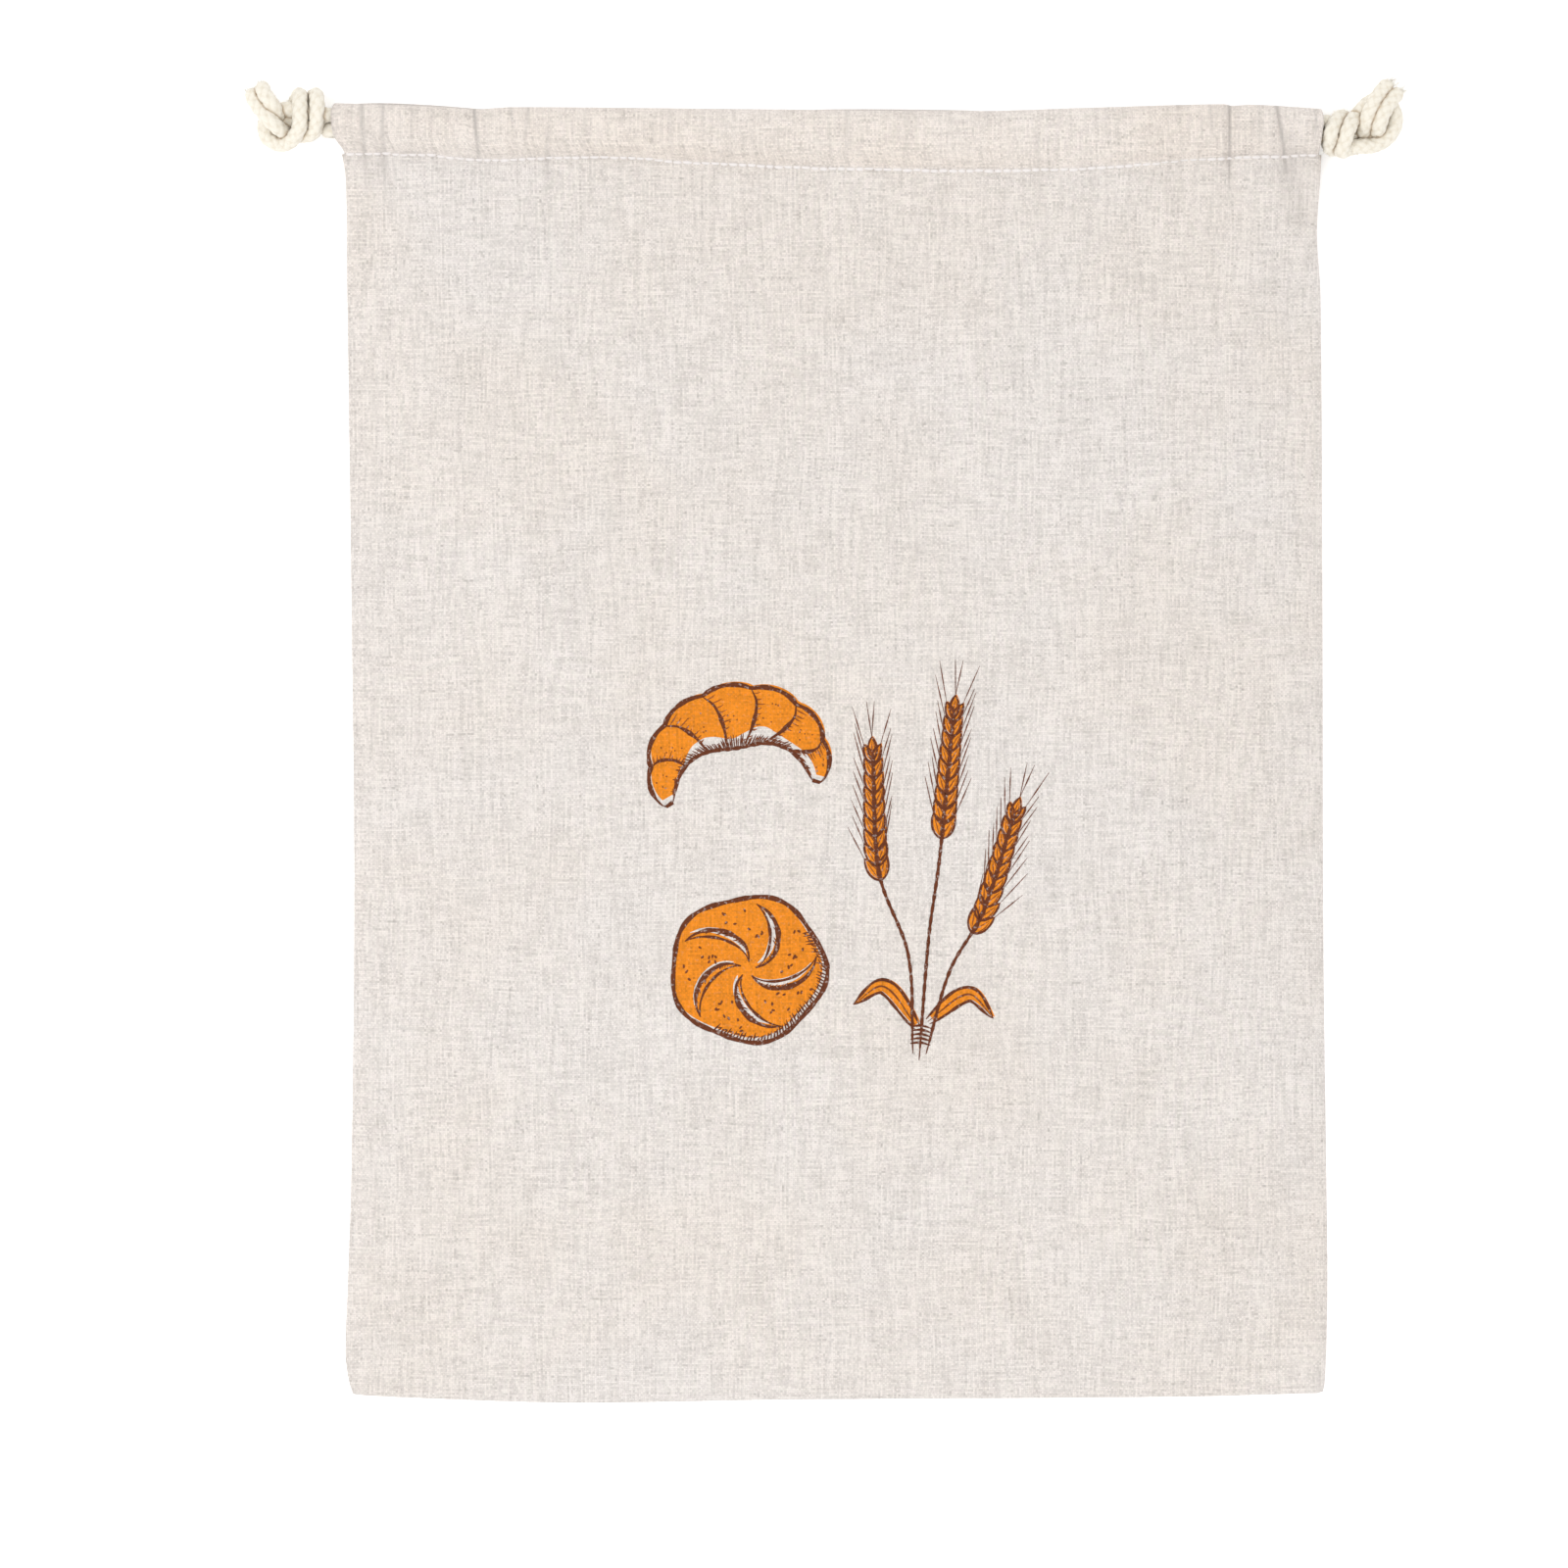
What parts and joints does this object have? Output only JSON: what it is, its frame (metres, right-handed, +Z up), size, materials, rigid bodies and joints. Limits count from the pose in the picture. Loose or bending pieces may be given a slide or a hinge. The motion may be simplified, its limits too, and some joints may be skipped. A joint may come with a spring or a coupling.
{
  "type": "linen bread bag",
  "caption": "Flat-lying linen drawstring bag with a folded foot, sewn sides, cord casings along the mouth and two knotted cotton drawcords.",
  "frame": {"origin": "middle of the bag's outline, on the surface that its back lies on", "axes": "+Y from the foot fold to the mouth, +X to the right seen from above the printed front, +Z up out of the front"},
  "size_m": [0.3539, 0.4057, 0.0197],
  "materials": {
    "linen": "natural unbleached plain weave, matt",
    "cotton_cord": "soft braided cotton, matt",
    "white_thread": "sewing thread",
    "orange_ink": "printed pigment, matt",
    "brown_ink": "printed pigment, matt"
  },
  "bodies": {
    "root": {"bag_cloth": "linen", "drawcord_right": "cotton_cord", "drawcord_left": "cotton_cord", "knot_right": "cotton_cord", "knot_left": "cotton_cord"}
  },
  "joints": []
}
